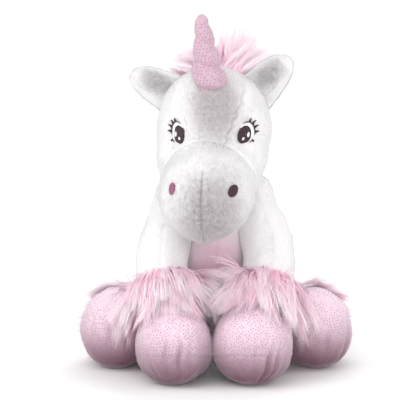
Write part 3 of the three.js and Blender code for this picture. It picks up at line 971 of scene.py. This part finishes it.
def hoof_surface(leg, directions, seed):
    points = trace(leg.hoof_distance, leg.hoof, directions, 70)
    relief = hoof_relief(leg, points, seed)
    out = unit((points - leg.hoof) / leg.radii ** 2)
    return points + out * relief[:, None], out


def make_hoof(leg, seed):
    directions, quads = cube_sphere(56)
    points, _ = hoof_surface(leg, directions, seed)
    piece(f"{leg.name}_hoof_cloth", points, quads, [HOOF_CLOTH], leg.body,
          (f"{leg.name}_hoof_cover", f"{leg.name}_hoof_stuffing"))
    size = float(leg.radii.mean())
    rows = []
    lean = rotation(0.35 * leg.side, "Y") @ rotation(0.5, "X")
    for row, lat in enumerate(np.arange(-1.25, 1.35, DOT_ROW_PITCH / size)):
        ring = 2 * math.pi * size * math.cos(lat)
        number = max(6, int(ring / DOT_PITCH))
        lon = dot_ring(number, row)
        rows.append(np.stack([np.cos(lat) * np.sin(lon), -np.cos(lat) * np.cos(lon),
                              np.full(number, math.sin(lat))], -1))
    directions = unit(np.concatenate(rows) @ lean.T)
    draw = np.random.default_rng(seed)
    directions = unit(directions + draw.normal(scale=0.010, size=directions.shape))
    places, normals = hoof_surface(leg, directions, seed)
    keep = (places[:, 2] > 2) & (draw.random(len(places)) < 0.88)
    dots(f"{leg.name}_hoof_dots", places[keep], normals[keep], leg.body)


def make_cuff(leg, seed):
    """A band of long fur round the ankle that hangs over the hoof."""
    draw = np.random.default_rng(seed)
    count = HAIRS["front_cuff" if leg.front else "rear_cuff"]
    start, end = FRONT_CUFF_SPAN if leg.front else REAR_CUFF_SPAN
    share = draw.random(count) ** 0.85
    t = start + (end - start) * share + draw.normal(scale=0.010, size=count)
    centre = leg.along(t)
    heading = leg.heading(t)
    side, other = square_to(heading)
    angle = draw.uniform(0, 2 * math.pi, count)[:, None]
    out = side * np.cos(angle) + other * np.sin(angle)
    inwards = unit(np.array([-leg.side, 0.0, 0.0]) + heading * heading[:, :1] * leg.side)
    inner = np.sum(out * inwards, axis=1)
    moved = (inner < -0.2) & (draw.random(count) < (0.4 if leg.front else 0.0))
    out = np.where(moved[:, None], out - 2 * inner[:, None] * inwards, out)
    roots = centre + out * (leg.radius + 0.4)
    stray = draw.random(count) < 0.06
    inner = np.clip(-out[:, 0] * leg.side, 0, 1)
    puff = 0.75 + 0.55 * share + 0.7 * stray + 1.7 * inner
    lift = (np.where(stray, 0.55, 0.0) + 0.45 * inner)[:, None] * np.array([0, 0, 1.0])
    if not leg.front:
        puff = 0.20 + 0.20 * share + 0.5 * stray
    fall = unit(heading * 0.8 + out * puff[:, None] + lift)
    if leg.front:
        lengths = draw.uniform(42, 60, count) * (1.05 - 0.25 * share) * (1 + 0.2 * inner)
    else:
        lengths = draw.uniform(36, 50, count)
    lengths = np.where(stray, lengths * 0.85, lengths)

    def keep_out(p, hover, outward):
        away = leg.hoof_distance(p) + 0.3
        slope = unit((p - leg.hoof) / leg.radii ** 2)
        push = np.maximum(hover - away, 0)[:, None]
        p = p + slope * push
        p[:, 2] = np.maximum(p[:, 2], 2.0)
        near = step_between(-away, -14, 0)[:, None]
        return p, unit(outward * (1 - near) + slope * near)

    strands(f"{leg.name}_fetlock_strands", (f"{leg.name}_fetlock_fur",), roots, out, fall, lengths,
            leg.body, seed, keep_out, 1.5 if leg.front else 0.7, 0.24, clump=48)
    t = np.linspace(start - 0.02, end + 0.06, 12)
    swell = np.sin(np.linspace(0.12, math.pi - 0.12, 12)) ** 0.4
    points, quads, _ = loft(leg.along(t), (leg.radius + 0.2) * swell, 48)
    piece(f"{leg.name}_fetlock_band", points, quads[:, ::-1], [PINK_BACKING], leg.body)


def make_legs():
    for number, name in enumerate(("front_left", "front_right", "rear_left", "rear_right")):
        leg = Leg(name)
        make_leg_skin(leg)
        make_hoof(leg, 60 + number * 3)
        make_cuff(leg, 80 + number)


# ---------------- horn

HORN_AT = joint_at("horn_flex")
HORN_TURN = HEAD_TURN @ rotation(HORN_LEAN, "X") @ rotation(HORN_TILT, "Y")


def horn_radius(t, angle):
    cone = HORN_RADIUS * (1 - 0.68 * t)
    cone = cone * np.sqrt(np.clip(1 - np.clip((t - 0.86) / 0.14, 0, 1) ** 2, 0, 1))
    phase = (t * HORN_TURNS + angle / (2 * math.pi) + 0.35) % 1.0
    groove = np.minimum(phase, 1 - phase) * 2
    pinch = 1.04 - 0.20 * np.exp(-(groove / 0.34) ** 2) - 0.05 * np.exp(-(groove / 0.08) ** 2)
    frill = 0.022 * np.sin(angle * 18) * step_between(-t, -0.05, 0.0)
    return cone * (pinch + frill)


def horn_points(t, angle, lift=0.0):
    radius = horn_radius(t, angle) + lift
    local = np.stack([radius * np.cos(angle), radius * np.sin(angle), t * HORN_LENGTH], -1)
    return local @ HORN_TURN.T + HORN_AT


def make_horn():
    rows, around = 90, 72
    t = np.linspace(-0.14, 1.0, rows)
    grid_t, grid_angle = np.meshgrid(t, turns(around), indexing="ij")
    points = horn_points(grid_t.ravel(), grid_angle.ravel())
    quads = grid_quads(rows, around, True)
    piece("horn_velour", points, quads, [HORN_CLOTH], "horn",
          ("horn_cover", "horn_stuffing"))
    draw = np.random.default_rng(91)
    places = []
    for row, level in enumerate(np.arange(0.03, 0.95, DOT_ROW_PITCH / HORN_LENGTH)):
        number = max(4, int(2 * math.pi * HORN_RADIUS * (1 - 0.66 * level) / DOT_PITCH))
        lon = dot_ring(number, row)
        places.append(np.stack([np.full(number, level), lon], -1))
    spots = np.concatenate(places)
    spots = spots[draw.random(len(spots)) < 0.75]
    at = horn_points(spots[:, 0], spots[:, 1])
    out = np.stack([np.cos(spots[:, 1]), np.sin(spots[:, 1]), np.full(len(spots), 0.25)], -1)
    dots("horn_dots", at, unit(out @ HORN_TURN.T), "horn")
    level = np.linspace(0.1, HORN_TURNS - 0.55, 150) / HORN_TURNS
    wind = -(level * HORN_TURNS + 0.35) * 2 * math.pi
    thick = np.full(len(level), HORN_THREAD_RADIUS)
    thick[[0, -1]] *= 0.15
    points, faces, _ = loft(horn_points(level, wind, 0.25), thick, 6)
    piece("horn_thread_winding", points, faces, [HORN_THREAD], "horn",
          ("horn_thread",))


# ---------------- ears

def ear_frame(side):
    word = "left" if side > 0 else "right"
    across = np.array(JOINTS[f"{word}_ear_flop"]["axis"], float)
    low, high = corners(f"{word}_ear_outer")
    root = joint_at(f"{word}_ear_flop")
    along = (low + high) / 2 - root
    along = unit(along - across * (along @ across))
    return root, across, np.cross(along, across), along


def ear_surface(u, v, front, root, across, back, along):
    """A cupped blunt leaf: u across from -1 to 1, v from its root at 0 to its tip at 1."""
    half = EAR_HALF_WIDTH * (1 - 0.42 * v ** 1.3) * np.sqrt(np.clip(1 - v ** 7, 0, 1))
    cup = 12.0 * (1 - u ** 2) * (1 - 0.55 * v)
    bend = -7.0 * v ** 2
    depth = cup + bend + front - 2.0
    return (root + across * (u * half)[:, None] + back * depth[:, None]
            + along * (v * EAR_LENGTH - 6)[:, None])


def make_ears():
    for side, word in ((1, "left"), (-1, "right")):
        place = ear_frame(side)
        rows, columns = 40, 28
        u, v = np.meshgrid(np.linspace(-1, 1, columns), np.linspace(0, 0.985, rows), indexing="xy")
        u, v = u.ravel(), v.ravel()
        edge = np.clip(1 - np.abs(u) ** 4, 0, 1) ** 0.5
        tip = np.clip(1 - v ** 10, 0, 1) ** 0.5
        puff = 3.6 * edge * tip
        rim = 1.6 * (1 - edge * tip)
        front = ear_surface(u, v, -puff + rim, *place)
        rear = ear_surface(u, v, puff * 0.8 + rim + 0.3, *place)
        quads = grid_quads(rows, columns, False)
        points, faces = closed_sheet(front, rear, quads_out(front, quads, rear))
        piece(f"{word}_ear_plush", points, faces, [WHITE_BACKING], f"{word}_ear",
              (f"{word}_ear_outer",))

        def flow(p, root=place[0], across=place[1], along=place[3]):
            return np.clip((p - root) @ across / 12, -1, 1)[:, None] * across + along * 0.5

        # The share of darker pile in the ear lining: painted shade, most in the middle of the cup.
        def ear_cup_painted_shade(p, side=side, root=place[0], across=place[1], along=place[3]):
            over = ((p - root) @ across / EAR_HALF_WIDTH + side * 0.12) / 0.62
            up = ((p - root) @ along / EAR_LENGTH - 0.34) / 0.42
            return step_between(-np.hypot(over, up), -1.0, -0.3)

        pile(f"{word}_ear_pile", points, faces, SPIKES["ear"], flow, f"{word}_ear", 101, length=2.9,
             lean=1.26, materials=EAR_EDGE_PILE)
        inner_u = u * 0.66 - side * 0.12
        inner_v = 0.02 + v * 0.78
        skin = ear_surface(inner_u, inner_v, np.full_like(u, -2.0), *place)
        lip = ear_surface(inner_u, inner_v, -3.2 - 1.2 * edge * tip, *place)
        outer = quads_out(lip, quads, skin)
        points, faces = closed_sheet(lip, skin, outer)
        piece(f"{word}_ear_lining", points, faces, [EAR_LINING_PAINTED_SHADE], f"{word}_ear",
              (f"{word}_ear_inner",))
        pile(f"{word}_ear_lining_pile", lip, outer, SPIKES["ear_lining"], flow,
             f"{word}_ear", 103, length=3.0, lean=1.22, materials=EAR_PILE, slot="ear_lining",
             grey=ear_cup_painted_shade)


# ---------------- mane and tail

def on_cranium(x, y):
    """Directions from the middle of the head to points over its crown."""
    z = np.sqrt(np.clip(1 - (x / CRANIUM_RADII[0]) ** 2 - (y / CRANIUM_RADII[1]) ** 2, 0.02, 1))
    return unit(np.stack([x, y, z * CRANIUM_RADII[2]], -1))


def make_mane():
    """Two fans of fur on the crown, and a strip of it down the back of the head."""
    draw = np.random.default_rng(131)
    picks, headings, lengths, looks = [], [], [], []
    for side, count, rise, low, high in ((1, HAIRS["left_fan"], 0.85, 36, 54),
                                         (-1, HAIRS["right_fan"], 0.55, 26, 42)):
        x = side * draw.uniform(1, 29, count)
        y = draw.uniform(6, 34, count)
        picks.append(on_cranium(x, y))
        headings.append(np.stack([side * (0.34 + np.abs(x) / 75), np.full(count, 0.22),
                                  np.full(count, rise)], -1))
        lengths.append(draw.uniform(low, high, count))
        ahead = np.where(y < 22, -1.0, 1.0)
        looks.append(np.stack([np.full(count, side * 0.2), ahead, np.full(count, 0.45)], -1))
    count = HAIRS["crest"]
    turn = draw.uniform(0.50, 2.02, count)
    x = draw.normal(scale=0.17, size=count).clip(-0.34, 0.34)
    picks.append(unit(np.stack([x, np.sin(turn), np.cos(turn)], -1)))
    headings.append(np.stack([x * 2.2 + draw.choice([-0.25, 0.25], count), np.cos(turn) * 0.7 + 0.5,
                              -np.sin(turn)], -1))
    lengths.append(draw.uniform(26, 38, count))
    looks.append(np.zeros((count, 3)))
    pick, heading = np.concatenate(picks), unit(np.concatenate(headings))
    lengths = np.concatenate(lengths)
    local = trace(cranium_distance, np.zeros(3), pick, 120)

    def keep_out(p, hover, outward):
        q = row_to_head(p)
        away = cranium_distance(q)
        slope = unit(q / CRANIUM_RADII ** 2)
        q = q + slope * np.maximum(hover + 1 - away, 0)[:, None]
        return head_to_row(q), slope @ HEAD_TURN.T

    roots = head_to_row(local)
    normals = unit(pick / CRANIUM_RADII ** 2) @ HEAD_TURN.T
    strands("mane_strands", ("mane_fur",), roots, normals, heading @ HEAD_TURN.T, lengths, "head",
            132, keep_out, 0.45, 0.31, clump=26, tone=0.45, look=np.concatenate(looks))


def make_tail():
    draw = np.random.default_rng(141)
    root = joint_at("tail_swing")
    low, high = corners("tail_fur")
    end = np.array([(low[0] + high[0]) / 2, high[1] - 8, low[2] + 6])
    t = np.linspace(0, 1, 30)
    path = root + np.outer(t, np.array([0, 24.0, -11])) + np.array([0, -4.0, 2])
    cap = np.sqrt(np.clip(1 - (2 * t - 1) ** 6, 0.0004, 1))
    points, quads, _ = loft(path, 10.5 * cap, 32)
    quads = quads[:, ::-1]
    piece("tail_root_plush", points, quads, [WHITE_BACKING], "tail",
          ("tail_root",))
    pile("tail_root_pile", points, quads, SPIKES["tail_root"], downwards, "tail", 142)
    count = HAIRS["tail"]
    share = draw.random(count)
    angle = draw.uniform(0, 2 * math.pi, count)
    axis = unit(np.array([0, 24.0, -11]))
    ring = np.stack([np.cos(angle), np.sin(angle) * 0.4, np.sin(angle) * 0.9], -1)
    roots = root + np.outer(0.35 + share * 0.6, axis * 24) + ring * 9.5
    heading = unit(axis * 0.9 + ring * 0.45 + np.array([0, 0, -0.5]))
    lengths = draw.uniform(34, 52, count)

    def keep_out(p, hover, outward):
        p = p.copy()
        p[:, 2] = np.maximum(p[:, 2], 1.0 + hover)
        p[:, 1] = np.minimum(p[:, 1], end[1] + 8 + hover)
        return p, outward

    strands("tail_strands", ("tail_fur",), roots, ring, heading, lengths, "tail", 143, keep_out,
            1.6, 0.12, steps=8)


# ---------------- stage

def make_stage():
    floor_mesh = bpy.data.meshes.new("floor")
    edge = FLOOR_REACH
    floor_mesh.from_pydata([(-edge, -edge, 0), (edge, -edge, 0), (edge, edge, 0),
                            (-edge, edge, 0)], [], [(0, 1, 2, 3)])
    floor = bpy.data.objects.new("floor", floor_mesh)
    bpy.context.scene.collection.objects.link(floor)
    floor.location.z = CAD_BOX[0][2] - 0.0002
    floor_mesh.materials.append(plain("floor_paper", FLOOR_TINT, 0.9))


# Each softbox: degrees to the right of the camera, degrees up, strength, degrees wide.
SOFTBOXES = {
    "top": (-18, 60, 0.75, 50),
    "left": (-72, 28, 1.1, 45),
    "right": (80, 30, 0.75, 45),
    "front": (4, 10, 1.6, 40),
    "back": (165, 42, 1.1, 60),
}
SKY_STRENGTH = 0.40
BACKDROP_STRENGTH = 1.1             # what the camera sees behind the toy
CAMERA_UP = math.radians(10)
CAMERA_DISTANCE = 2.6               # metres
CAMERA_WIDTH = 1.457                # width of the picture at the toy, in toy widths
FLOOR_REACH = 6.0                   # metres
FLOOR_TINT = (0.98, 0.98, 0.98)


def soft_sun(name, azimuth, elevation, strength, spread):
    """A broad light from far away: azimuth is degrees to the right of the camera."""
    data = bpy.data.lights.new(name, "SUN")
    data.energy = strength
    data.angle = math.radians(spread)
    lamp = bpy.data.objects.new(name, data)
    turn, rise = math.radians(azimuth), math.radians(elevation)
    away = Vector((math.sin(turn) * math.cos(rise), -math.cos(turn) * math.cos(rise),
                   math.sin(rise)))
    lamp.rotation_euler = away.to_track_quat("Z", "Y").to_euler()
    lamp.location = away * 2
    bpy.context.scene.collection.objects.link(lamp)


def make_lights():
    for word, light in SOFTBOXES.items():
        soft_sun(f"{word}_softbox", *light)
    world = bpy.data.worlds.new("studio")
    bpy.context.scene.world = world
    world.use_nodes = True
    sky = world.node_tree.nodes["Background"]
    sky.inputs["Color"].default_value = (1, 1, 1, 1)
    sky.inputs["Strength"].default_value = SKY_STRENGTH
    seen = node(world, "Background", {"Color": (1, 1, 1, 1), "Strength": BACKDROP_STRENGTH})
    ray = node(world, "LightPath", {})
    mix = node(world, "MixShader", {"Fac": ray.outputs["Is Camera Ray"], 1: sky.outputs[0],
                                    2: seen.outputs[0]})
    surface = world.node_tree.nodes["World Output"].inputs["Surface"]
    world.node_tree.links.new(mix.outputs[0], surface)


def make_camera():
    width, _, height = np.array(CAD_BOX[1]) - np.array(CAD_BOX[0])
    target = Vector((-0.055 * width, -0.060, 0.48 * height))
    data = bpy.data.cameras.new("camera")
    data.sensor_width = SENSOR_WIDTH
    data.lens = SENSOR_WIDTH * CAMERA_DISTANCE / (CAMERA_WIDTH * width)
    camera = bpy.data.objects.new("camera", data)
    away = Vector((0, -math.cos(CAMERA_UP), math.sin(CAMERA_UP)))
    camera.location = target + CAMERA_DISTANCE * away
    camera.rotation_euler = (target - camera.location).to_track_quat("-Z", "Y").to_euler()
    bpy.context.scene.collection.objects.link(camera)
    bpy.context.scene.camera = camera
    bpy.context.scene.view_settings.view_transform = "Standard"


make_camera()
make_lights()
make_stage()
make_head()
make_face()
make_torso()
make_neck()
make_legs()
make_horn()
make_ears()
make_mane()
make_tail()
